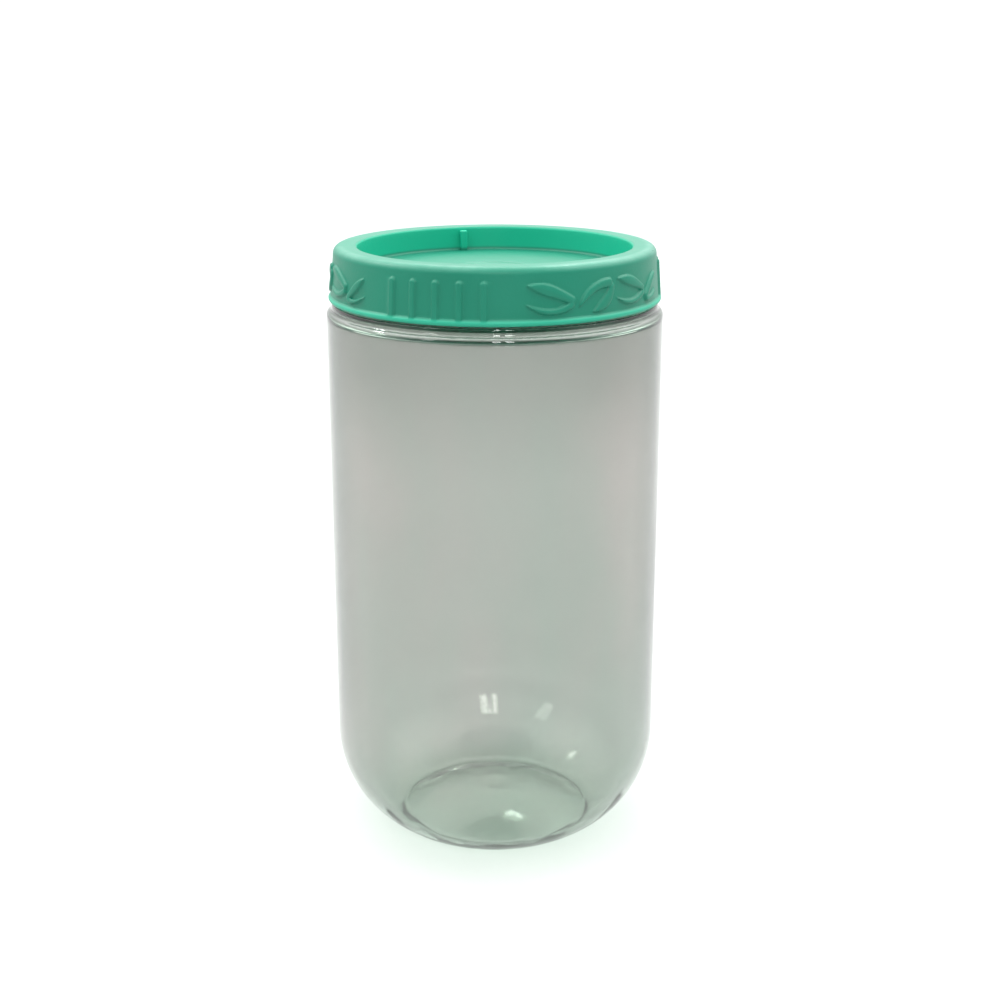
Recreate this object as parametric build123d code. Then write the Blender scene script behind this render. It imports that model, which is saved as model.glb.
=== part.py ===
from build123d import *
import os
from math import cos, radians, sin, sqrt, tan

# A wide-mouth clear jar with a moulded screw lid and a flat seal ring.
# Millimetres, +Z up. The origin is the centre of the foot, and the lid's front faces -Y.

# Overall sizes
total_height = 201.5        # foot to the lid's rim
body_radius = 55.0          # outside of the jar's straight body
wall = 1.0                  # blown body wall

# Foot and heel of the jar
foot_radius = 33.0          # outer edge of the ring that the jar stands on
foot_width = 1.8
heel_top = 34.0             # height where the heel's curve meets the straight body
base_wall = 1.8
push_up = 8.0               # height of the domed base above the foot
gate_radius = 6.3           # round mark of the preform in the middle of the base
gate_step = 0.5

# Shoulder and neck of the jar: a small rounded ledge, a steep cone, then a flat under the lid
ledge_low = 179.2           # top of the straight body
ledge_curve = 1.8
ledge_hollow = 1.3          # radius of the hollow between the ledge and the cone
ledge_tilt = 62.0           # degrees that the ledge's face leans back at its middle
cone_tilt = 8.0             # the same on the cone above it
cone_top = 182.9
cone_round = 0.7
inner_flat = 182.2          # inside, under the flat that the lid covers
inner_cone_radius = 52.0    # inside, behind the cone
inner_ledge_low = 178.6     # from here up the inside leans in at 45 degrees to the cone
neck_root_round = 0.6
neck_radius = 48.9          # root of the outside thread
neck_bore = 47.0
lip_top = 198.7
lip_round = 0.6

# Screw thread, three starts, right hand
thread_starts = 3
thread_lead = 18.0          # rise in one full turn
thread_height = 1.5
thread_embed = 0.3
jar_thread_base = 3.2
jar_thread_crest = 1.6
jar_thread_low = 187.2      # middle of the jar's thread at its lower end
jar_thread_wrap = 150.0     # degrees covered by each start
lid_thread_base = 2.4
lid_thread_crest = 1.2
lid_thread_drop = 2.3       # the lid's thread sits this far under the jar's
lid_thread_lag = 25.0       # degrees from the jar thread's end to the lid thread's
first_start = 20.0          # azimuth of the first start's lower end

# Lid
lid_bottom = 184.0
bead_radius = 54.2          # rounded bead around the lid's lower edge
bead_height = 1.9
bead_round = 0.9
bead_top_round = 0.7
skirt_low_radius = 53.3     # outside of the skirt just above the bead
skirt_top_radius = 52.2
skirt_bore = 50.8
rim_round = 2.2
top_wall = 1.8
plug_radius = 46.0          # outside of the recess wall, inside the jar's neck
recess_top_radius = 44.6
recess_floor_radius = 44.2
recess_depth = 8.0
recess_edge_round = 0.9
panel_wall = 1.6
pad_radius = 13.5           # shallow ring on the lid's panel
pad_width = 3.0
pad_height = 0.4

# Ribs inside the recess, one in each third of the lid
recess_rib_width = 2.5
recess_rib_depth = 1.7
recess_rib_gap = 1.2        # from the rib's top to the rim
recess_rib_azimuth = 14.5   # degrees left of the back, seen from the front

# Grip ribs and leaf relief on the skirt, repeated in each third of the lid
thirds = 3
grip_count = 5
grip_pitch = 8.05           # degrees between neighbouring grip ribs
grip_middle = -19.6         # degrees right of the front
grip_radius = 1.35
grip_sink = 0.6             # how far a rib's centre line lies under the skirt's face
grip_low = 185.4
grip_high = 196.2
relief_height = 0.8

# Each leaf: its two tips as (degrees right of the front, height), then how far its upper and lower
# edges bow away from the line between the tips.
leaves = [
    ((10.7, 196.1), (27.2, 190.4), 2.6, -1.6),
    ((9.2, 191.4), (26.4, 189.9), -1.3, -3.3),
    ((27.9, 188.3), (42.6, 195.4), 4.7, 1.5),
    ((32.9, 187.4), (43.2, 195.4), 0.7, -2.7),
    ((44.4, 196.2), (60.2, 191.4), 2.4, -1.6),
    ((43.6, 190.9), (59.2, 189.8), -1.3, -3.0),
    ((58.9, 188.8), (70.6, 196.0), 2.2, -1.2),
    ((59.8, 188.2), (72.4, 191.8), -0.5, -2.2),
]

# Seal ring
seal_inner = 46.4
seal_outer = 50.4
seal_gap = 0.05             # free play above and below the ring

rim_z = total_height
panel_z = total_height - recess_depth
ceiling_z = total_height - top_wall


def revolved(outline):
    """Turn a closed outline in the XZ plane around the Z axis."""
    return revolve(make_face(outline), Axis.Z)


def tangent_radius(wall_r, wall_z, end_r, end_z):
    """Radius of the arc that leaves a vertical wall and ends at (end_r, end_z)."""
    run = wall_r - end_r
    rise = wall_z - end_z
    return (run**2 + rise**2) / (2 * run)


def heel_arc(wall_r, wall_z, end_r, end_z):
    """The heel's curve, from the bottom of a straight wall in to the foot."""
    radius = tangent_radius(wall_r, wall_z, end_r, end_z)
    drop = radians(45)
    middle = (wall_r - radius + radius * cos(drop), 0, wall_z - radius * sin(drop))
    return ThreePointArc((wall_r, 0, wall_z), middle, (end_r, 0, end_z))


def dome_arc(edge_r, edge_z, end_r, top_z):
    """The push-up's curve, from its edge in to end_r, on a sphere whose top is at top_z."""
    rise = top_z - edge_z
    sphere = (edge_r**2 + rise**2) / (2 * rise)

    def on_sphere(r):
        return (r, 0, top_z - sphere + sqrt(sphere**2 - r**2))

    return ThreePointArc((edge_r, 0, edge_z), on_sphere((edge_r + end_r) / 2), on_sphere(end_r))


def thread_ridges(root_r, out, base, crest, low, wrap, start):
    """One ridge for each start, its root sunk a little in the wall at root_r.

    out is 1 for a thread on the outside of a wall, and -1 for one on the inside.
    """
    sunk = root_r - out * thread_embed
    tip = root_r + out * thread_height
    section = Polyline(
        (sunk, 0, -base / 2),
        (root_r, 0, -base / 2),
        (tip, 0, -crest / 2),
        (tip, 0, crest / 2),
        (root_r, 0, base / 2),
        (sunk, 0, base / 2),
        close=True,
    )
    path = Helix(pitch=thread_lead, height=thread_lead * wrap / 360, radius=root_r)
    ridge = Pos(0, 0, low) * sweep(make_face(section), path, is_frenet=True)
    return [Rot(0, 0, start + i * 360 / thread_starts) * ridge for i in range(thread_starts)]


def skirt_radius(z):
    """Outside radius of the lid's tapered skirt at height z."""
    low = lid_bottom + bead_height
    share = (z - low) / (rim_z - low)
    return skirt_low_radius + share * (skirt_top_radius - skirt_low_radius)


def bend(start, radius, from_tilt, to_tilt):
    """An arc on a wall going up and in, whose face leans back from from_tilt to to_tilt degrees.

    The wall turns away from its outside where the tilt grows, and back where it shrinks.
    """
    r, z = start
    first, last = radians(from_tilt), radians(to_tilt)
    side = radius if to_tilt > from_tilt else -radius

    def at(tilt):
        return (r - side * (cos(first) - cos(tilt)), 0, z + side * (sin(tilt) - sin(first)))

    return ThreePointArc((r, 0, z), at((first + last) / 2), at(last))


def shoulder_edges():
    """The ledge, the cone and the rounded edge of the flat that the lid covers."""
    ledge = bend((body_radius, ledge_low), ledge_curve, 0, ledge_tilt)
    hollow = bend(((ledge @ 1).X, (ledge @ 1).Z), ledge_hollow, ledge_tilt, cone_tilt)
    foot = hollow @ 1
    cone_end = (foot.X - (cone_top - foot.Z) * tan(radians(cone_tilt)), cone_top)
    edge = bend(cone_end, cone_round, cone_tilt, 90)
    return [ledge, hollow, Line(foot, edge @ 0), edge]


def make_jar():
    foot_inner = foot_radius - foot_width
    inside_foot = foot_radius + base_wall / 4
    inner_wall = body_radius - wall
    gate_z = push_up - gate_step
    outside_dome = dome_arc(foot_inner, 0, gate_radius, push_up)
    inside_dome = dome_arc(inside_foot, base_wall, 0, push_up + base_wall)
    shoulder = shoulder_edges()
    flat = shoulder[-1] @ 1
    outline = [
        Line((0, 0, gate_z), (gate_radius, 0, gate_z)),
        Line((gate_radius, 0, gate_z), outside_dome @ 1),
        outside_dome,
        Line((foot_inner, 0, 0), (foot_radius, 0, 0)),
        heel_arc(body_radius, heel_top, foot_radius, 0),
        Line((body_radius, 0, heel_top), (body_radius, 0, ledge_low)),
        *shoulder,
        Polyline(
            flat,
            (neck_radius + neck_root_round, 0, flat.Z),
            (neck_radius, 0, flat.Z + neck_root_round),
            (neck_radius, 0, lip_top - lip_round),
            (neck_radius - lip_round, 0, lip_top),
            (neck_bore, 0, lip_top),
            (neck_bore, 0, inner_flat),
            (inner_cone_radius, 0, inner_flat),
            (inner_cone_radius, 0, inner_ledge_low + inner_wall - inner_cone_radius),
            (inner_wall, 0, inner_ledge_low),
            (inner_wall, 0, heel_top),
        ),
        heel_arc(inner_wall, heel_top, inside_foot, base_wall),
        inside_dome,
        Line((0, 0, push_up + base_wall), (0, 0, gate_z)),
    ]
    ridges = thread_ridges(
        neck_radius, 1, jar_thread_base, jar_thread_crest, jar_thread_low, jar_thread_wrap, first_start
    )
    return revolved(Curve() + outline) + ridges


def rounded(face, corners):
    """Round the face's corners: corners maps a corner's (r, z) to its radius."""
    for (r, z), radius in corners.items():
        corner = face.vertices().sort_by_distance((r, 0, z))[0]
        face = fillet(corner, radius)
    return face


def lid_shell():
    """The lid's round shape, before its thread, ribs and leaves."""
    bead_top = lid_bottom + bead_height
    pad_outer = pad_radius + pad_width / 2
    pad_inner = pad_radius - pad_width / 2
    outline = Polyline(
        (skirt_bore, 0, lid_bottom),
        (bead_radius, 0, lid_bottom),
        (bead_radius, 0, bead_top),
        (skirt_low_radius, 0, bead_top),
        (skirt_top_radius, 0, rim_z),
        (recess_top_radius, 0, rim_z),
        (recess_floor_radius, 0, panel_z),
        (pad_outer, 0, panel_z),
        (pad_outer, 0, panel_z + pad_height),
        (pad_inner, 0, panel_z + pad_height),
        (pad_inner, 0, panel_z),
        (0, 0, panel_z),
        (0, 0, panel_z - panel_wall),
        (plug_radius, 0, panel_z - panel_wall),
        (plug_radius, 0, ceiling_z),
        (skirt_bore, 0, ceiling_z),
        close=True,
    )
    corners = {
        (skirt_top_radius, rim_z): rim_round,
        (recess_top_radius, rim_z): recess_edge_round,
        (recess_floor_radius, panel_z): recess_edge_round,
        (plug_radius, panel_z - panel_wall): recess_edge_round,
        (bead_radius, lid_bottom): bead_round,
        (bead_radius, bead_top): bead_top_round,
    }
    return revolve(rounded(make_face(outline), corners), Axis.Z)


def grip_ribs(turn):
    """Upright half-round ribs with round tops, leaning with the skirt and clear of its bore."""
    low_r = skirt_radius(grip_low) - grip_sink
    high_r = skirt_radius(grip_high) - grip_sink
    foot = Vector(low_r, 0, grip_low)
    lean = Vector(high_r, 0, grip_high) - foot
    rod = Plane(origin=foot, z_dir=lean) * Cylinder(
        grip_radius, lean.length, align=(Align.CENTER, Align.CENTER, Align.MIN)
    )
    cap = Pos(high_r, 0, grip_high) * Sphere(grip_radius)
    core = Pos(0, 0, grip_high) * Cylinder(skirt_bore + thread_embed, 4 * (grip_high - grip_low))
    rib = rod + cap - core
    first = grip_middle - (grip_count - 1) / 2 * grip_pitch + turn - 90
    return [Rot(0, 0, first + i * grip_pitch) * rib for i in range(grip_count)]


def leaf_pads(turn):
    """Raised leaves: each outline is pushed through a thin skin that follows the skirt."""
    low = lid_bottom + bead_height
    high = rim_z - rim_round
    skin = revolved(
        Polyline(
            (skirt_radius(low) - relief_height, 0, low),
            (skirt_radius(low) + relief_height, 0, low),
            (skirt_radius(high) + relief_height, 0, high),
            (skirt_radius(high) - relief_height, 0, high),
            close=True,
        )
    )
    pads = []
    for (start_a, start_z), (end_a, end_z), upper, lower in leaves:
        middle = (start_a + end_a) / 2
        middle_z = (start_z + end_z) / 2
        half = skirt_low_radius * sin(radians(end_a - start_a) / 2)
        tip_a = Vector(-half, start_z - middle_z)
        tip_b = Vector(half, end_z - middle_z)
        across = (tip_b - tip_a).rotate(Axis.Z, 90).normalized()
        outline = ThreePointArc(tip_a, across * upper, tip_b) + ThreePointArc(tip_b, across * lower, tip_a)
        face = make_face(outline)
        facing = Plane(origin=(0, -body_radius, middle_z), x_dir=(1, 0, 0), z_dir=(0, -1, 0))
        prism = extrude(facing * face, amount=-2 * thread_height - (body_radius - skirt_top_radius))
        pads.append(Rot(0, 0, middle + turn) * prism & skin)
    return pads


def recess_ribs():
    """Small upright ribs on the recess wall."""
    height = recess_depth - recess_rib_gap
    outer = recess_top_radius + (plug_radius - recess_top_radius) / 2
    depth = outer - (recess_floor_radius - recess_rib_depth)
    rib = Pos(outer, 0, panel_z) * Box(
        depth, recess_rib_width, height, align=(Align.MAX, Align.CENTER, Align.MIN)
    )
    back = 90 + recess_rib_azimuth
    return [Rot(0, 0, back + i * 360 / thirds) * rib for i in range(thirds)]


def make_lid():
    lid = lid_shell()
    lid += thread_ridges(
        skirt_bore,
        -1,
        lid_thread_base,
        lid_thread_crest,
        jar_thread_low - lid_thread_drop + thread_lead * lid_thread_lag / 360,
        jar_thread_wrap - lid_thread_lag,
        first_start + lid_thread_lag,
    )
    lid += recess_ribs()
    for i in range(thirds):
        turn = i * 360 / thirds
        lid += grip_ribs(turn)
        lid += leaf_pads(turn)
    return lid


def make_seal_ring():
    low = lip_top + seal_gap
    high = ceiling_z - seal_gap
    return revolved(
        Polyline(
            (seal_inner, 0, low), (seal_outer, 0, low), (seal_outer, 0, high), (seal_inner, 0, high), close=True
        )
    )


os.makedirs("parts", exist_ok=True)
pieces = {"jar": make_jar(), "seal_ring": make_seal_ring(), "lid": make_lid()}
for name, shape in pieces.items():
    solid = shape.solids()[0] if len(shape.solids()) == 1 else shape
    print(name, len(shape.solids()), "solid(s)", round(shape.volume), "mm3")
    export_step(solid, f"parts/{name}.step")
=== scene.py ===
from math import asin, cos, degrees, radians, sin, sqrt, tan

import bpy
import numpy as np
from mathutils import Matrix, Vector, noise


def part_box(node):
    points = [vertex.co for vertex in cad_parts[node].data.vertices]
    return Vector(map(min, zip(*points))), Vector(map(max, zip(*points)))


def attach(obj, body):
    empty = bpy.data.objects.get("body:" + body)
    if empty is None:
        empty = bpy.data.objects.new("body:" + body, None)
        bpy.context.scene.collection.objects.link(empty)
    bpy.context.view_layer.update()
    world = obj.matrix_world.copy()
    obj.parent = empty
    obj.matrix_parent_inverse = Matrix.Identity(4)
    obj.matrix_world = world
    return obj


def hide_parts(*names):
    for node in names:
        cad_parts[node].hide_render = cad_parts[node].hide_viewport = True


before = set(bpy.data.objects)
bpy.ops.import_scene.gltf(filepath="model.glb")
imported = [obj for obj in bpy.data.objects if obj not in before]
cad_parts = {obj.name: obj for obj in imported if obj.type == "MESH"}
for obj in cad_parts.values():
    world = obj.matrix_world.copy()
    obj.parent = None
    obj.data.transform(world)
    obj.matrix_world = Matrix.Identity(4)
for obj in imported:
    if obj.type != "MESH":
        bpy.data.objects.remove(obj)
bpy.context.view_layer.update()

# ---- Jar ------------------------------------------------------------------------------------
# One blow-moulded piece of clear PET: a domed foot, a large heel, a straight body, a shoulder and
# a neck with three thread starts. The wall is about a millimetre thick and a little uneven.

_, jar_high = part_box("jar")
body_r = jar_high.x
lip_z = jar_high.z
wall = 0.0010
foot_r = 0.0330
foot_round = 0.0020          # the foot's edge, rounded where the jar stands
heel_z = 0.0340
base_wall = 0.0018
push_up = 0.0080
valley_round = 0.0050        # inside, above the foot ring
valley_meet = -62            # degrees at which the inside of the heel runs into it
base_slope = 27              # degrees that the push-up leans at its edge
gate_r = 0.0063
gate_step = 0.0002
ledge_z = 0.1792             # top of the straight body, where a small rounded ledge begins
ledge_curve = 0.0018
ledge_hollow = 0.0013
ledge_tilt = 62              # degrees that the ledge's face leans back at its middle
cone_tilt = 8                # the same on the cone above it
cone_z = 0.1829
cone_round = 0.0007
inner_flat_z = 0.1822        # inside, under the flat that the lid covers
inner_cone_r = 0.0520        # inside, behind the cone
inner_ledge_z = 0.1786       # from here up the inside leans in at 45 degrees to the cone
neck_r = 0.0489
neck_bore = 0.0470
lip_round = 0.0006
neck_root = 0.0006
thread_starts = 3
thread_lead = 0.0180
thread_height = 0.0015
thread_fade = 10.0           # degrees over which a thread's end rises from the wall
jar_thread = {"low": 0.1872, "wrap": 150, "start": 20, "base": 0.0034, "crest": 0.0014}
wall_drift = 0.00012         # how far the inside wanders, which is more in the base
base_drift = 0.00022
skin_drift = 0.00003         # and how far the outside does


def arc(centre, radius, start, end, steps):
    """Points (r, z) on an arc; the angles are in degrees, counted from outwards to upwards."""
    turns = np.radians(np.linspace(start, end, steps + 1))
    return [(centre[0] + radius * cos(t), centre[1] + radius * sin(t)) for t in turns]


def straight(start, end, steps):
    """Points (r, z) on a line, without its two ends."""
    shares = np.linspace(0, 1, steps + 1)[1:-1]
    return [(start[0] + s * (end[0] - start[0]), start[1] + s * (end[1] - start[1])) for s in shares]


def heel_circle(wall_r, end_r, end_z):
    """Centre and radius of the heel's arc, which runs from (end_r, end_z) into the straight wall."""
    run = wall_r - end_r
    rise = heel_z - end_z
    radius = (run**2 + rise**2) / (2 * run)
    return (wall_r - radius, heel_z), radius


def out_from(centre, distance, degree):
    """The point (r, z) at a distance from a centre, in a direction."""
    return centre[0] + distance * cos(radians(degree)), centre[1] + distance * sin(radians(degree))


def dome(start_r, edge_r, edge_z, top_z, steps):
    """The push-up's curve from start_r out to its edge."""
    rise = top_z - edge_z
    sphere = (edge_r**2 + rise**2) / (2 * rise)
    radii = np.linspace(start_r, edge_r, steps + 1)
    return [(r, top_z - sphere + sqrt(sphere**2 - r**2)) for r in radii]


def turned(rows, angles, push=None, closed=False):
    """Points and faces of a shape turned round the Z axis.

    Each row is (r, z, stride): a stride of 2 keeps every second angle, which saves faces in plain
    places. Angles are in degrees to the right of the front, -Y. push(angles, r, z, row) gives how
    far each point moves outwards. A row at r = 0 becomes one point.
    """
    points, index = [], []
    for number, (r, z, stride) in enumerate(rows):
        some = angles[::stride]
        if r == 0:
            index.append([len(points)])
            points.append((0, 0, z))
            continue
        out = np.full(len(some), r)
        if push is not None:
            out = out + push(some, r, z, number)
        index.append(list(range(len(points), len(points) + len(some))))
        turn = np.radians(some)
        points.extend(zip(out * np.sin(turn), -out * np.cos(turn), np.full(len(some), z)))
    pairs = list(zip(index, index[1:]))
    if closed:
        pairs.append((index[-1], index[0]))
    faces = [face for low, high in pairs for face in band(low, high)]
    return points, faces


def band(low, high):
    """Faces between two rings, which may be a single point or have twice as many points."""
    if len(low) == 1 or len(high) == 1:
        ring, flip = (high, False) if len(low) == 1 else (low, True)
        tip = low[0] if len(low) == 1 else high[0]
        count = len(ring)
        fan = [(tip, ring[(i + 1) % count], ring[i]) for i in range(count)]
        return [f[::-1] for f in fan] if flip else fan
    if len(low) == len(high):
        count = len(low)
        return [(low[i], low[(i + 1) % count], high[(i + 1) % count], high[i]) for i in range(count)]
    fine, coarse, flip = (low, high, False) if len(low) > len(high) else (high, low, True)
    count = len(coarse)
    faces = []
    for i in range(count):
        a, b, c = fine[2 * i], fine[2 * i + 1], fine[(2 * i + 2) % len(fine)]
        p, q = coarse[i], coarse[(i + 1) % count]
        faces += [(a, b, p), (b, q, p), (b, c, q)]
    return [f[::-1] for f in faces] if flip else faces


def thread(angles, z, low, wrap, start, base, crest):
    """Height of a three-start screw ridge above its wall, in one ring at height z.

    low is the height at which each start begins, wrap its length and start its place in degrees,
    and base and crest are the ridge's widths.
    """
    height = np.zeros(len(angles))
    for i in range(thread_starts):
        along = (angles - 90 - start - i * 360 / thread_starts) % 360
        along = np.where(along > 180 + wrap / 2, along - 360, along)
        away = np.abs(z - low - thread_lead * along / 360)
        flank = np.clip((base / 2 - away) / ((base - crest) / 2), 0, 1)
        ends = np.clip(np.minimum(along, wrap - along) / thread_fade, 0, 1)
        ridge = thread_height * smooth(flank) * smooth(ends)
        height = np.maximum(height, ridge)
    return height


def smooth(t):
    """A soft step from 0 to 1."""
    t = np.clip(t, 0, 1)
    return t * t * (3 - 2 * t)


def bend(start, radius, from_tilt, to_tilt, steps):
    """Points on a wall going up and in, whose face leans back from from_tilt to to_tilt degrees."""
    side = radius if to_tilt > from_tilt else -radius
    first = radians(from_tilt)
    tilts = np.radians(np.linspace(from_tilt, to_tilt, steps + 1))
    return [
        (start[0] - side * (cos(first) - cos(t)), start[1] + side * (sin(t) - sin(first))) for t in tilts
    ]


def shoulder_points():
    """The ledge, the hollow above it, the cone and the rounded edge of the flat under the lid."""
    ledge = bend((body_r, ledge_z), ledge_curve, 0, ledge_tilt, 12)
    hollow = bend(ledge[-1], ledge_hollow, ledge_tilt, cone_tilt, 10)
    foot_point = hollow[-1]
    cone_end = (foot_point[0] - (cone_z - foot_point[1]) * tan(radians(cone_tilt)), cone_z)
    edge = bend(cone_end, cone_round, cone_tilt, 90, 6)
    return ledge + hollow[1:] + straight(foot_point, cone_end, 4) + edge


def jar_profile():
    """The jar's outline, with the name of the stretch that each point belongs to."""
    inside_r = body_r - wall
    gate_z = push_up - gate_step
    heel_c, heel_r = heel_circle(body_r, foot_r + 0.0006, 0.0004)
    foot_meet = degrees(asin((foot_round - heel_z) / (heel_r - foot_round)))
    foot = arc(out_from(heel_c, heel_r - foot_round, foot_meet), foot_round, -90 - base_slope, foot_meet, 9)
    inner_c, inner_r = heel_circle(inside_r, foot_r + base_wall / 4, base_wall)
    valley_c = out_from(inner_c, inner_r - valley_round, valley_meet)
    valley = arc(valley_c, valley_round, valley_meet, -90 - base_slope, 9)
    shoulder = shoulder_points()
    flat_z = shoulder[-1][1]
    inner_corners = [
        (neck_bore, lip_z),
        (neck_bore, inner_flat_z),
        (inner_cone_r, inner_flat_z),
        (inner_cone_r, inner_ledge_z + inside_r - inner_cone_r),
        (inside_r, inner_ledge_z),
        (inside_r, heel_z),
    ]
    stretches = [
        ("gate", [(0, gate_z), (0.0012, gate_z), (0.0040, gate_z), (gate_r - 0.0004, gate_z)]),
        ("dome", dome(gate_r + 0.0010, *foot[0], push_up, 14)[:-1]),
        ("foot", foot[:-1]),
        ("heel", arc(heel_c, heel_r, foot_meet, 0, 26)),
        ("body", straight((body_r, heel_z), (body_r, ledge_z), 44)),
        ("shoulder", shoulder),
        ("neck", arc((neck_r + neck_root, flat_z + neck_root), neck_root, 270, 180, 3)),
        ("thread", straight((neck_r, flat_z + neck_root), (neck_r, lip_z - 0.0012), 46)),
        ("lip", arc((neck_r - lip_round, lip_z - lip_round), lip_round, 0, 90, 4)),
        ("lip", arc((neck_bore + lip_round, lip_z - lip_round), lip_round, 90, 180, 4)),
        ("bore", straight((neck_bore, lip_z - lip_round), (neck_bore, inner_flat_z + 0.0006), 8)),
        ("bore", soft_corners(inner_corners, 0.0006)),
        ("inner", straight(inner_corners[-2], (inside_r, heel_z), 46)),
        ("inner", arc(inner_c, inner_r, 0, valley_meet, 22)[:-1]),
        ("inner", valley[:-1]),
        ("base", dome(0, *valley[-1], push_up + base_wall, 16)[::-1]),
    ]
    return [(name, r, z) for name, points in stretches for r, z in points]


def soft_corners(path, run):
    """The inner corners of a path, each rounded over a length of run on both sides."""
    points = []
    for before, (r, z), after in zip(path, path[1:], path[2:]):
        corner = Vector((r, z))
        start = corner + (Vector(before) - corner).normalized() * run
        end = corner + (Vector(after) - corner).normalized() * run
        for t in np.linspace(0, 1, 6):
            bowed = start * (1 - t) ** 2 + corner * 2 * t * (1 - t) + end * t**2
            points.append((bowed.x, bowed.y))
    return points


jar_rows = jar_profile()


def ripple(angles, z, size, seed):
    """Slow unevenness of a blown wall, from -1 to 1, round one ring."""
    turn = np.radians(angles)
    return np.array([noise.noise(Vector((cos(t) * size, sin(t) * size, z * 14 + seed))) for t in turn])


def jar_push(angles, r, z, row):
    """The outside thread, and the uneven inside that blowing leaves."""
    stretch = jar_rows[row][0]
    if stretch == "thread":
        return thread(angles, z, **jar_thread)
    if stretch in ("inner", "base") and r > gate_r:
        floor_share = smooth((0.030 - z) / 0.020)
        slow = wall_drift * ripple(angles, z, 1.6, 3.0)
        return slow + base_drift * floor_share * ripple(angles, z * 4, 5.0, 8.0)
    if stretch in ("body", "heel") and z > 0.004:
        return -skin_drift * (1 + ripple(angles, z, 2.4, 11.0))
    return np.zeros(len(angles))


def piece_from(name, shells):
    """One mesh object made of closed shells, each given as points and faces."""
    points, faces = [], []
    for shell_points, shell_faces in shells:
        first = len(points)
        points.extend(tuple(map(float, p)) for p in shell_points)
        faces.extend(tuple(first + i for i in face) for face in shell_faces)
    mesh = bpy.data.meshes.new(name)
    mesh.from_pydata(points, [], faces)
    mesh.shade_smooth()
    mesh.set_sharp_from_angle(angle=radians(48))
    piece = bpy.data.objects.new(name, mesh)
    bpy.context.scene.collection.objects.link(piece)
    return piece


jar_angles = np.linspace(0, 360, 257)[:-1]
jar = piece_from("clear_jar", [turned([(r, z, 1) for _, r, z in jar_rows], jar_angles, jar_push)])


def new_material(name):
    """An empty node material with its output and Principled node, wired."""
    material = bpy.data.materials.new(name)
    material.use_nodes = True
    tree = material.node_tree
    tree.nodes.clear()
    output = tree.nodes.new("ShaderNodeOutputMaterial")
    shader = tree.nodes.new("ShaderNodeBsdfPrincipled")
    tree.links.new(shader.outputs[0], output.inputs["Surface"])
    return material, tree, shader


def add(tree, kind, values=None, **settings):
    """A node with its settings and its input values; a value that is a socket is linked."""
    node = tree.nodes.new(kind)
    for key, value in settings.items():
        setattr(node, key, value)
    for key, value in (values or {}).items():
        if isinstance(value, bpy.types.NodeSocket):
            tree.links.new(value, node.inputs[key])
        else:
            node.inputs[key].default_value = value
    return node


def new_group(name, inputs, outputs):
    """A node group with float inputs, given as (name, value), and named outputs."""
    group = bpy.data.node_groups.new(name, "ShaderNodeTree")
    for label, value in inputs:
        socket = group.interface.new_socket(label, in_out="INPUT", socket_type="NodeSocketFloat")
        socket.default_value = value
    for label in outputs:
        group.interface.new_socket(label, in_out="OUTPUT", socket_type="NodeSocketFloat")
    return group, group.nodes.new("NodeGroupInput"), group.nodes.new("NodeGroupOutput")


def put_group(tree, group, **values):
    """Places a group in a material with its own values."""
    node = tree.nodes.new("ShaderNodeGroup")
    node.node_tree = group
    for key, value in values.items():
        node.inputs[key].default_value = value
    return node


def handling_smudges():
    """Soft smudges left by hands."""
    group, given, result = new_group("Handling smudges", [("Scale", 28.0)], ["Smudges"])
    place = add(group, "ShaderNodeTexCoord").outputs["Object"]
    patches = add(group, "ShaderNodeTexNoise", {"Vector": place, "Detail": 4.0, "Roughness": 0.6})
    group.links.new(given.outputs["Scale"], patches.inputs["Scale"])
    limits = {"Value": patches.outputs["Fac"], "From Min": 0.45, "From Max": 0.75}
    smudge = add(group, "ShaderNodeMapRange", limits)
    group.links.new(smudge.outputs[0], result.inputs["Smudges"])
    return group


smudges = handling_smudges()


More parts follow.
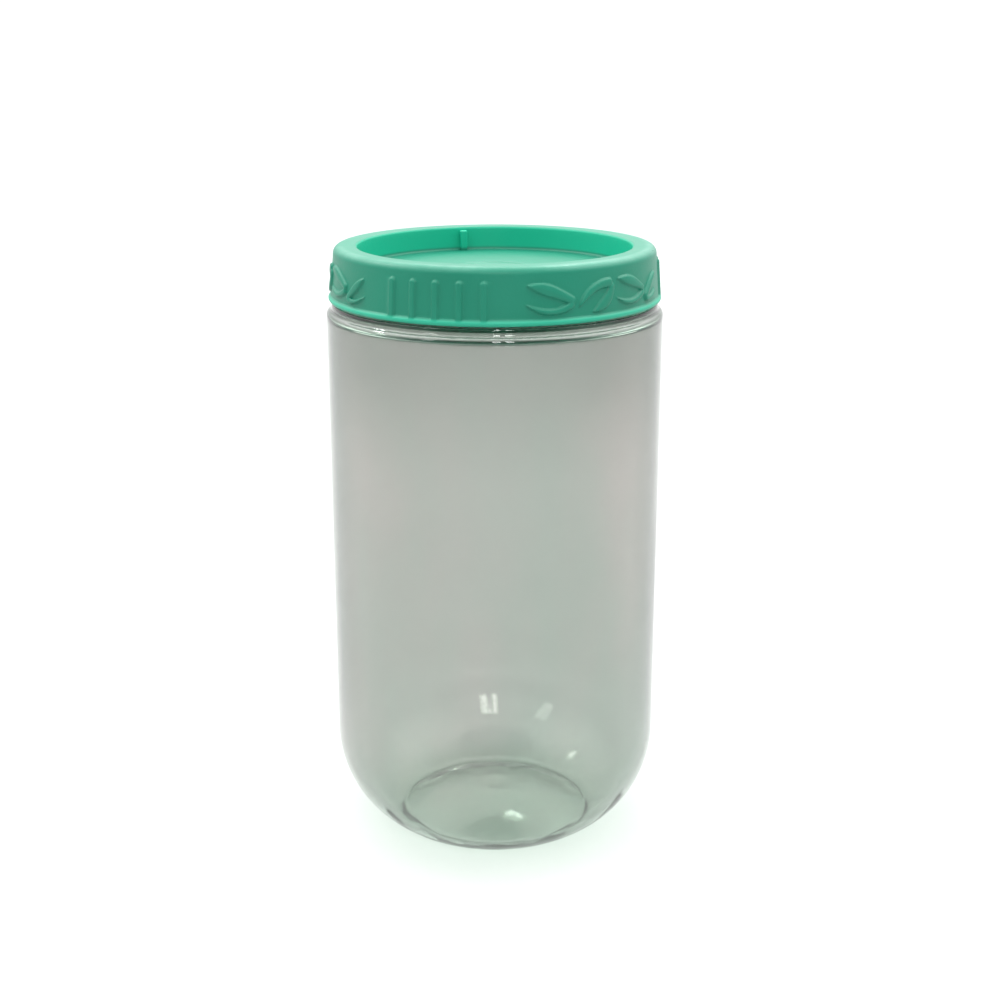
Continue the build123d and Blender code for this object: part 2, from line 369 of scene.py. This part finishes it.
def clear_pet():
    """Clear plastic with a grey-green cast, faint flow waves and soft smudges.

    The cast is darker towards the top of the body, which is painted shade under the lid, and greener
    and darker on the shoulder, which is painted shade with a painted green reflection of the lid. It
    is painted lighter and a little greener in the base, as painted light against the shade under the
    jar, and it is deepest where a wall is seen edge-on.
    Lamps and the glow of the floor go straight through the walls, which only tint them.
    """
    material, tree, shader = new_material("clear grey-green PET")
    shader.inputs["Transmission Weight"].default_value = 1.0
    shader.inputs["IOR"].default_value = 1.57
    used = put_group(tree, smudges, Scale=28.0)
    rough = add(
        tree, "ShaderNodeMapRange", {"Value": used.outputs["Smudges"], "To Min": 0.02, "To Max": 0.05}
    )
    tree.links.new(rough.outputs[0], shader.inputs["Roughness"])
    place = add(tree, "ShaderNodeTexCoord").outputs["Object"]
    drawn = add(tree, "ShaderNodeMapping", {"Vector": place, "Scale": (1.0, 1.0, 0.35)})
    drift = add(tree, "ShaderNodeTexNoise", {"Vector": drawn.outputs[0], "Scale": 26.0, "Detail": 3.0})
    spread = {"Value": drift.outputs["Fac"], "From Min": 0.36, "From Max": 0.64}
    share = add(tree, "ShaderNodeMapRange", spread)
    tint = add(tree, "ShaderNodeMix", {"Factor": share.outputs[0]}, data_type="RGBA")
    tint.inputs["A"].default_value = (0.652, 0.618, 0.610, 1)
    tint.inputs["B"].default_value = (0.588, 0.612, 0.586, 1)
    height = add(tree, "ShaderNodeSeparateXYZ", {0: place}).outputs["Z"]
    cast = tint.outputs["Result"]
    for start, end, most, colour in (
        # painted shade: darker grey towards the top of the body, under the lid
        (0.130, 0.170, 0.52, (0.42, 0.43, 0.41, 1)),
        # painted shade and a painted green reflection of the lid on the shoulder
        (0.177, 0.180, 0.60, (0.30, 0.38, 0.33, 1)),
        # painted light: lighter and a little greener in the base, against the shade under the jar
        (0.045, 0.012, 0.80, (0.65, 0.69, 0.66, 1)),
    ):
        limits = {"Value": height, "From Min": start, "From Max": end, "To Max": most}
        reach = add(tree, "ShaderNodeMapRange", limits, interpolation_type="SMOOTHSTEP").outputs[0]
        zone = add(tree, "ShaderNodeMix", {"Factor": reach, "A": cast}, data_type="RGBA")
        zone.inputs["B"].default_value = colour
        cast = zone.outputs["Result"]
    upright = add(tree, "ShaderNodeMapRange", {"Value": height, "From Min": 0.025, "From Max": 0.05})
    edge_on = add(
        tree,
        "ShaderNodeMapRange",
        {
            "Value": add(tree, "ShaderNodeLayerWeight").outputs["Facing"],
            "From Min": 0.5,
            "From Max": 0.92,
            "To Max": upright.outputs[0],
        },
    )
    deep = add(tree, "ShaderNodeMix", {"Factor": edge_on.outputs[0], "A": cast}, data_type="RGBA")
    deep.inputs["B"].default_value = (0.22, 0.235, 0.22, 1)
    tree.links.new(deep.outputs["Result"], shader.inputs["Base Color"])
    waves = add(tree, "ShaderNodeTexNoise", {"Vector": drawn.outputs[0], "Scale": 45.0, "Detail": 2.0})
    near_base = add(
        tree,
        "ShaderNodeMapRange",
        {"Value": height, "From Min": 0.035, "From Max": 0.008, "To Min": 0.3, "To Max": 3.2},
        interpolation_type="SMOOTHSTEP",
    )
    factors = {0: waves.outputs["Fac"], 1: near_base.outputs[0]}
    wave = add(tree, "ShaderNodeMath", factors, operation="MULTIPLY")
    relief = add(tree, "ShaderNodeBump", {"Height": wave.outputs[0], "Strength": 0.3, "Distance": 0.0005})
    tree.links.new(relief.outputs[0], shader.inputs["Normal"])
    path = add(tree, "ShaderNodeLightPath")
    through = add(tree, "ShaderNodeBsdfTransparent", {"Color": (0.985, 0.99, 0.985, 1)})
    seen = shader.outputs[0]
    for ray in ("Is Diffuse Ray", "Is Shadow Ray"):
        mix = add(tree, "ShaderNodeMixShader", {0: path.outputs[ray]})
        tree.links.new(seen, mix.inputs[1])
        tree.links.new(through.outputs[0], mix.inputs[2])
        seen = mix.outputs[0]
    output = tree.nodes["Material Output"]
    tree.links.new(seen, output.inputs["Surface"])
    body = add(tree, "ShaderNodeVolumeAbsorption", {"Color": (0.80, 0.86, 0.82, 1), "Density": 400.0})
    tree.links.new(body.outputs[0], output.inputs["Volume"])
    return material


jar.data.materials.append(clear_pet())
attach(jar, "jar")
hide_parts("jar")

# ---- Seal ring ------------------------------------------------------------------------------
# A flat washer of soft white foam plastic, stamped from sheet. It lies in the channel under the
# lid's rim and is squeezed on the jar's lip.

seal_low, seal_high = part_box("seal_ring")
seal_outer = seal_high.x
seal_inner = 0.0464
seal_edge = 0.00018


def seal_profile():
    """Its section: a thin rectangle with small round corners, inside face last."""
    low, high = seal_low.z, seal_high.z
    corners = [
        (seal_inner + seal_edge, low + seal_edge, 180, 270),
        (seal_outer - seal_edge, low + seal_edge, 270, 360),
        (seal_outer - seal_edge, high - seal_edge, 0, 90),
        (seal_inner + seal_edge, high - seal_edge, 90, 180),
    ]
    return [(r, z, 1) for cr, cz, a, b in corners for r, z in arc((cr, cz), seal_edge, a, b, 3)]


seal = piece_from("seal_washer", [turned(seal_profile(), np.linspace(0, 360, 181)[:-1], closed=True)])


def mould_grain():
    """The fine, even texture that a mould or a foam skin leaves."""
    group, given, result = new_group(
        "Mould grain", [("Scale", 900.0), ("Mottle", 40.0)], ["Height", "Shade"]
    )
    place = add(group, "ShaderNodeTexCoord").outputs["Object"]
    pits = add(group, "ShaderNodeTexNoise", {"Vector": place, "Detail": 4.0, "Roughness": 0.65})
    group.links.new(given.outputs["Scale"], pits.inputs["Scale"])
    mottle = add(group, "ShaderNodeTexNoise", {"Vector": place, "Detail": 3.0})
    group.links.new(given.outputs["Mottle"], mottle.inputs["Scale"])
    group.links.new(pits.outputs["Fac"], result.inputs["Height"])
    group.links.new(mottle.outputs["Fac"], result.inputs["Shade"])
    return group


grain = mould_grain()


def foam_plastic():
    """Soft off-white foam plastic with fine pores."""
    material, tree, shader = new_material("soft white foam plastic")
    texture = put_group(tree, grain, Scale=1500.0, Mottle=120.0)
    colour = add(tree, "ShaderNodeMix", {"Factor": texture.outputs["Shade"]}, data_type="RGBA")
    colour.inputs["A"].default_value = (0.78, 0.79, 0.75, 1)
    colour.inputs["B"].default_value = (0.88, 0.88, 0.85, 1)
    tree.links.new(colour.outputs["Result"], shader.inputs["Base Color"])
    rough = add(
        tree, "ShaderNodeMapRange", {"Value": texture.outputs["Height"], "To Min": 0.55, "To Max": 0.8}
    )
    tree.links.new(rough.outputs[0], shader.inputs["Roughness"])
    pores = add(tree, "ShaderNodeBump", {"Height": texture.outputs["Height"], "Distance": 0.0001})
    tree.links.new(pores.outputs[0], shader.inputs["Normal"])
    return material


seal.data.materials.append(foam_plastic())
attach(seal, "seal")
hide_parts("seal_ring")

# ---- Lid ------------------------------------------------------------------------------------
# One injection-moulded piece of mint-green PP. The skirt carries the inside thread, a bead at its
# lower edge, three groups of grip ribs and three leaf sprays; the top is recessed for stacking.

lid_low, lid_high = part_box("lid")
rim_z = lid_high.z
lid_foot = lid_low.z
bead_r = lid_high.x
bead_height = 0.0019
skirt_low_r = 0.0533
skirt_top_r = 0.0522
skirt_bore = 0.0508
rim_round = 0.0024
top_wall = 0.0018
plug_r = 0.0460
recess_top_r = 0.0446
recess_floor_r = 0.0442
recess_depth = 0.0080
recess_round = 0.0009
panel_wall = 0.0016
pad_r = 0.0135
pad_half = 0.0015
pad_height = 0.0004
panel_z = rim_z - recess_depth
ceiling_z = rim_z - top_wall
skirt_z = lid_foot + bead_height


def skirt_r(z):
    """Outside radius of the skirt, which narrows upwards."""
    share = (z - skirt_z) / (rim_z - skirt_z)
    return skirt_low_r + share * (skirt_top_r - skirt_low_r)


def lid_profile():
    """The lid's outline from the middle of its underside, out, over the rim and into the recess."""
    under_z = panel_z - panel_wall
    plug_c = (plug_r - recess_round, under_z + recess_round)
    nose = bead_height / 2
    bead_c = (bead_r - nose, lid_foot + nose)
    rim_c = (skirt_r(rim_z - rim_round) - rim_round, rim_z - rim_round)
    edge_c = (recess_top_r + recess_round, rim_z - recess_round)
    foot_c = (recess_floor_r - recess_round, panel_z + recess_round)
    root = 0.0005
    fillet_c = (skirt_low_r + root, skirt_z + root)
    wall_top = (recess_top_r, rim_z - recess_round)
    wall_foot = (recess_floor_r, panel_z + recess_round)
    plain = [
        ("under", [(0, under_z), (0.0100, under_z), (0.0300, under_z), (0.0420, under_z)], 4),
        ("plug", arc(plug_c, recess_round, -90, 0, 4), 4),
        ("plug", straight((plug_r, under_z + recess_round), (plug_r, ceiling_z - root), 4), 4),
        ("plug", arc((plug_r + root, ceiling_z - root), root, 180, 90, 3), 2),
        ("bore", arc((skirt_bore - root, ceiling_z - root), root, 90, 0, 3), 2),
        ("thread", straight((skirt_bore, ceiling_z - root), (skirt_bore, lid_foot + 0.0004), 32), 2),
        ("foot", arc((skirt_bore + 0.0004, lid_foot + 0.0004), 0.0004, 180, 270, 3), 2),
        ("bead", arc(bead_c, nose, -90, 60, 9), 1),
        ("fillet", arc(fillet_c, root, 250, 185, 5), 1),
        ("skirt", [(skirt_r(z), z) for z in np.linspace(skirt_z + 0.0006, rim_z - rim_round, 46)], 1),
        ("rim", arc(rim_c, rim_round, 8, 90, 11), 2),
        ("edge", arc(edge_c, recess_round, 90, 180, 6), 2),
        ("recess", straight(wall_top, wall_foot, 5), 2),
        ("corner", arc(foot_c, recess_round, 0, -90, 5), 2),
        ("panel", [(0.0405, panel_z), (0.0340, panel_z), (0.0250, panel_z), (0.0180, panel_z)], 2),
        ("pad", pad_points(), 2),
        ("panel", [(0.0090, panel_z), (0.0040, panel_z), (0, panel_z)], 4),
    ]
    return [(name, r, z, stride) for name, points, stride in plain for r, z in points]


def pad_points():
    """The shallow raised ring on the panel, with soft edges."""
    shares = np.linspace(-1.3, 1.3, 12)[::-1]
    heights = pad_height * smooth((1.3 - np.abs(shares)) / 0.5)
    return [(pad_r + s * pad_half, panel_z + h) for s, h in zip(shares, heights)]


lid_rows = lid_profile()

# The skirt's decoration repeats in each third of the lid.
thirds = 3
grip_count = 5
grip_pitch = 8.05
grip_middle = -19.6
grip_r = 0.00140             # half the width at its foot
grip_height = 0.00075
grip_top = 0.1962

# Leaves are strokes of changing width along a bowed line. Each row is the pointed tip, the middle
# and the blunt end as (degrees right of the front, height), then half the width at the middle and
# at the blunt end. They come in pairs that share a blunt end.
leaf_height = 0.00085
leaf_edge = 0.00055
leaves = [
    ((10.0, 0.1960), (17.6, 0.1944), (25.6, 0.1911), 0.0020, 0.0015),
    ((8.8, 0.1911), (17.2, 0.1881), (25.4, 0.1897), 0.0011, 0.0013),
    ((28.0, 0.1882), (33.2, 0.1935), (40.6, 0.1953), 0.0014, 0.0016),
    ((33.0, 0.1869), (39.0, 0.1898), (41.6, 0.1938), 0.0019, 0.0015),
    ((44.3, 0.1961), (51.8, 0.1946), (59.0, 0.1917), 0.0018, 0.0013),
    ((43.0, 0.1909), (51.0, 0.1884), (58.8, 0.1902), 0.0010, 0.0012),
    ((71.2, 0.1956), (66.6, 0.1924), (61.9, 0.1889), 0.0015, 0.0013),
    ((72.4, 0.1905), (66.9, 0.1881), (62.1, 0.1881), 0.0008, 0.0011),
]
leaf_scale = radians(1) * skirt_low_r    # metres along the skirt in one degree
lid_thread = {"low": 0.18615, "wrap": 125, "start": 45, "base": 0.0026, "crest": 0.0010}


def grips(third, z):
    """Height of the five upright half-round ribs above the skirt; third is in degrees."""
    height = np.zeros(len(third))
    for i in range(grip_count):
        across = (third - grip_middle - (i - (grip_count - 1) / 2) * grip_pitch) * leaf_scale
        reach = np.hypot(across, max(z - grip_top, 0)) / grip_r
        height = np.maximum(height, grip_height * smooth((1 - reach) / 0.5))
    return height


def leaf_relief(third, z):
    """Height of the leaves above the skirt: low pillows with soft edges and a faint crown."""
    x = third * leaf_scale
    height = np.zeros(len(x))
    for tip, middle, end, half_middle, half_end in leaves:
        inside = np.full(len(x), -1.0)
        (x0, z0), (x1, z1), (x2, z2) = ((a * leaf_scale, h) for a, h in (tip, middle, end))
        for t in np.linspace(0, 1, 33):
            swell = sin(radians(90 * min(t / 0.5, 1))) ** 0.8
            half = swell * half_middle + smooth((t - 0.5) / 0.5) * (half_end - half_middle)
            bow = 2 * t * (1 - t)
            cx = (1 - t) ** 2 * x0 + bow * (2 * x1 - (x0 + x2) / 2) + t**2 * x2
            cz = (1 - t) ** 2 * z0 + bow * (2 * z1 - (z0 + z2) / 2) + t**2 * z2
            inside = np.maximum(inside, half - np.hypot(x - cx, z - cz))
        pillow = 0.8 * smooth(inside / leaf_edge) + 0.2 * smooth(inside / half_middle)
        height = np.maximum(height, leaf_height * pillow)
    return height


def lid_push(angles, r, z, row):
    """The inside thread, and the grips and leaves outside."""
    stretch = lid_rows[row][0]
    if stretch == "thread":
        return -thread(angles, z, **lid_thread)
    if stretch in ("bead", "fillet", "skirt") and z > lid_foot + 0.001:
        third = (angles + 40) % (360 / thirds) - 40
        raised = skirt_r(z) + np.maximum(grips(third, z), leaf_relief(third, z))
        return np.maximum(raised - r, 0)
    return np.zeros(len(angles))


def lid_angles():
    """Angles round the lid, closest together where the leaves and the grips are."""
    spans = ((-36.5, -2, 96), (-1, 7.5, 7), (8, 73.5, 190), (74.5, 82.5, 7))
    third = np.concatenate([np.linspace(*span) for span in spans])
    return np.concatenate([third + i * 360 / thirds for i in range(thirds)])


lid_body = turned([(r, z, stride) for _, r, z, stride in lid_rows], lid_angles(), lid_push)


def on_wall(degree, z, out, wall_radius):
    """A point standing out from a wall of the lid, degree to the right of the front."""
    turn = radians(degree)
    r = wall_radius + out
    return (r * sin(turn), -r * cos(turn), z)


def loft(rings):
    """Points and faces of a closed skin over rings with equal numbers of points."""
    count = len(rings[0])
    points = [p for ring in rings for p in ring]
    faces = [tuple(range(count))[::-1], tuple(range(len(points) - count, len(points)))]
    for row in range(len(rings) - 1):
        for i in range(count):
            j = (i + 1) % count
            faces.append((row * count + i, row * count + j, (row + 1) * count + j, (row + 1) * count + i))
    return points, faces


rib_half = 0.00125
rib_depth = 0.0017
rib_corner = 0.0005
rib_gap = 0.0012
rib_degree = 194.5           # the one at the back
rib_foot = 0.0003            # how far it is sunk in the wall and the panel


def recess_rib(degree):
    """A small upright rib with rounded edges, on the wall of the recess."""
    nose = [(-rib_half, -rib_foot), (-rib_half, 0.0006)]
    for side, start in ((-1, 180), (1, 90)):
        centre = (side * (rib_half - rib_corner), rib_depth - rib_corner)
        nose += arc(centre, rib_corner, start, start - 90, 5)
    nose += [(rib_half, 0.0006), (rib_half, -rib_foot)]
    top = rim_z - rib_gap
    rows = [(panel_z - rib_foot, 1.0), (panel_z + 0.003, 1.0), (top - 0.0005, 1.0)]
    rows += [(top - 0.0005 + 0.0005 * sin(t), 0.8 + 0.2 * cos(t)) for t in np.radians(np.linspace(18, 90, 5))]
    rings = []
    for z, share in rows:
        wall_r = recess_floor_r + (recess_top_r - recess_floor_r) * (z - panel_z) / recess_depth
        ring = [on_wall(degree + degrees(share * a / wall_r), z, -share * out, wall_r) for a, out in nose]
        rings.append(ring[::-1])
    return loft(rings)


ribs = [recess_rib(rib_degree + i * 360 / thirds) for i in range(thirds)]
lid = piece_from("screw_lid", [lid_body] + ribs)


def green_pp():
    """Satin mint-green plastic with mould grain and faint mottling.

    Hands have rubbed its rim in patches, which makes them glossier, and these patches are painted a
    lighter grey-green as a painted highlight. The wall of the recess and the bead are painted a
    brighter green as painted light, standing in for light that comes through the thin plastic.
    """
    material, tree, shader = new_material("mint green PP")
    texture = put_group(tree, grain, Scale=1300.0, Mottle=34.0)
    used = put_group(tree, smudges, Scale=28.0)
    place = add(tree, "ShaderNodeSeparateXYZ", {0: add(tree, "ShaderNodeTexCoord").outputs["Object"]})
    flat_place = add(tree, "ShaderNodeCombineXYZ", {"X": place.outputs["X"], "Y": place.outputs["Y"]})
    from_axis = add(tree, "ShaderNodeVectorMath", {0: flat_place.outputs[0]}, operation="LENGTH")
    radius = from_axis.outputs["Value"]

    def between(value, low, high):
        limits = {"Value": value, "From Min": low, "From Max": high}
        return add(tree, "ShaderNodeMapRange", limits, interpolation_type="SMOOTHSTEP").outputs[0]

    def product(*factors):
        total = factors[0]
        for factor in factors[1:]:
            total = add(tree, "ShaderNodeMath", {0: total, 1: factor}, operation="MULTIPLY").outputs[0]
        return total

    def blend(factor, first, second):
        mixed = add(tree, "ShaderNodeMix", {"Factor": factor}, data_type="RGBA")
        for key, colour in (("A", first), ("B", second)):
            if isinstance(colour, tuple):
                mixed.inputs[key].default_value = colour
            else:
                tree.links.new(colour, mixed.inputs[key])
        return mixed.outputs["Result"]

    rim_corner = product(
        between(radius, 0.0480, 0.0502),
        between(place.outputs["Z"], rim_z - 0.0022, rim_z - 0.0006),
    )
    polish_and_highlight = product(rim_corner, used.outputs["Smudges"])
    # painted light: the recess wall is painted a brighter green, standing in for light through the thin
    # plastic
    painted_wall_glow = product(
        between(radius, recess_top_r + 0.0006, recess_top_r),
        between(place.outputs["Z"], panel_z + 0.0004, panel_z + 0.0016),
    )
    mottled = blend(texture.outputs["Shade"], (0.004, 0.134, 0.082, 1), (0.006, 0.170, 0.107, 1))
    # rim corner patches: real rubbing makes them glossier (roughness below), and a painted highlight makes
    # them a lighter grey-green
    worn_and_highlight = blend(product(polish_and_highlight, 0.6), mottled, (0.07, 0.24, 0.180, 1))
    wall_glow_colour = blend(painted_wall_glow, worn_and_highlight, (0.003, 0.330, 0.200, 1))
    # painted light: the bead is painted a brighter green, standing in for light through the thin plastic
    painted_bead_glow = between(place.outputs["Z"], skirt_z + 0.0004, skirt_z - 0.0006)
    tree.links.new(blend(painted_bead_glow, wall_glow_colour, (0.015, 0.290, 0.185, 1)), shader.inputs["Base Color"])
    satin = add(
        tree, "ShaderNodeMapRange", {"Value": used.outputs["Smudges"], "To Min": 0.44, "To Max": 0.37}
    )
    gloss = {0: polish_and_highlight, 1: -0.16, 2: satin.outputs[0]}
    rough = add(tree, "ShaderNodeMath", gloss, operation="MULTIPLY_ADD")
    tree.links.new(rough.outputs[0], shader.inputs["Roughness"])
    fine = add(tree, "ShaderNodeBump", {"Height": texture.outputs["Height"], "Distance": 0.00004})
    tree.links.new(fine.outputs[0], shader.inputs["Normal"])
    shader.inputs["IOR"].default_value = 1.49
    shader.inputs["Specular IOR Level"].default_value = 0.28
    return material


lid.data.materials.append(green_pp())
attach(lid, "lid")
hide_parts("lid")

# ---- Set ------------------------------------------------------------------------------------
# A wide pale floor under a bright sky that is dim only in front, as in a studio tent. A two-pane
# window in front with a faint one beside it, and two small lamps, make the bright marks in the heel.

floor_half = 30.0
heel_middle = Vector((0, 0, 0.03))


def pale_floor():
    """The floor as one flat sheet."""
    mesh = bpy.data.meshes.new("floor")
    corners = [(-floor_half, -floor_half, 0), (floor_half, -floor_half, 0)]
    corners += [(floor_half, floor_half, 0), (-floor_half, floor_half, 0)]
    mesh.from_pydata(corners, [], [(0, 1, 2, 3)])
    sheet = bpy.data.objects.new("floor", mesh)
    bpy.context.scene.collection.objects.link(sheet)
    material, tree, shader = new_material("pale paper")
    shader.inputs["Base Color"].default_value = (0.38, 0.38, 0.38, 1)
    shader.inputs["Roughness"].default_value = 1.0
    shader.inputs["Specular IOR Level"].default_value = 0.0
    mesh.materials.append(material)


def soft_light(name, place, size, power):
    """A rectangular light at place, facing the jar's heel."""
    lamp = bpy.data.lights.new(name, "AREA")
    lamp.shape = "RECTANGLE"
    lamp.size, lamp.size_y = size
    lamp.energy = power
    light = bpy.data.objects.new(name, lamp)
    light.location = place
    light.rotation_euler = (heel_middle - Vector(place)).to_track_quat("-Z", "Y").to_euler()
    bpy.context.scene.collection.objects.link(light)


def studio_sky():
    """A soft sky: brightest overhead, white behind and beside the jar, dim in front."""
    world = bpy.data.worlds.new("studio")
    bpy.context.scene.world = world
    world.use_nodes = True
    tree = world.node_tree
    way = add(tree, "ShaderNodeSeparateXYZ", {0: add(tree, "ShaderNodeTexCoord").outputs["Generated"]})
    level = add(
        tree,
        "ShaderNodeMapRange",
        {"Value": way.outputs["Y"], "From Min": -0.98, "From Max": -0.3, "To Min": 0.12, "To Max": 1.08},
        interpolation_type="SMOOTHSTEP",
    )
    overhead = add(
        tree,
        "ShaderNodeMapRange",
        {"Value": way.outputs["Y"], "From Min": -0.75, "From Max": 0.05, "To Min": 1.2, "To Max": 4.9},
        interpolation_type="SMOOTHSTEP",
    )
    strength = add(
        tree,
        "ShaderNodeMapRange",
        {"Value": way.outputs["Z"], "From Min": 0.15, "From Max": 0.8, "To Min": level.outputs[0]},
        interpolation_type="SMOOTHSTEP",
    )
    tree.links.new(overhead.outputs[0], strength.inputs["To Max"])
    sky = tree.nodes["Background"]
    sky.inputs["Color"].default_value = (0.985, 1.0, 0.99, 1)
    tree.links.new(strength.outputs[0], sky.inputs["Strength"])


def towards(azimuth, elevation, distance):
    """A place seen from the heel, azimuth degrees right of the front and elevation degrees up."""
    turn, up = radians(azimuth), radians(elevation)
    return distance * Vector((sin(turn) * cos(up), -cos(turn) * cos(up), sin(up))) + heel_middle


pale_floor()
studio_sky()
lamp_distance = 1.5
for name, azimuth, elevation, size, power in (
    ("window_left", 0.9, 33, (0.12, 0.62), 2.7),
    ("window_right", 10.3, 33, (0.12, 0.62), 2.7),
    ("window_far", -47, 32, (0.20, 0.50), 1.5),
    ("lamp_back", 160, 62, (0.22, 0.12), 3.0),
    ("lamp_side", -112, 48, (0.10, 0.16), 2.0),
):
    soft_light(name, towards(azimuth, elevation, lamp_distance), size, power)
bpy.context.scene.view_settings.view_transform = "Standard"

eye = Vector((0.0, -0.524, 0.2725))
target = Vector((0.0017, 0, 0.1146))
lens = bpy.data.cameras.new("camera")
lens.lens = 57.96
lens.sensor_width = 36.0
camera = bpy.data.objects.new("camera", lens)
camera.location = eye
camera.rotation_euler = (target - eye).to_track_quat("-Z", "Y").to_euler()
bpy.context.scene.collection.objects.link(camera)
bpy.context.scene.camera = camera
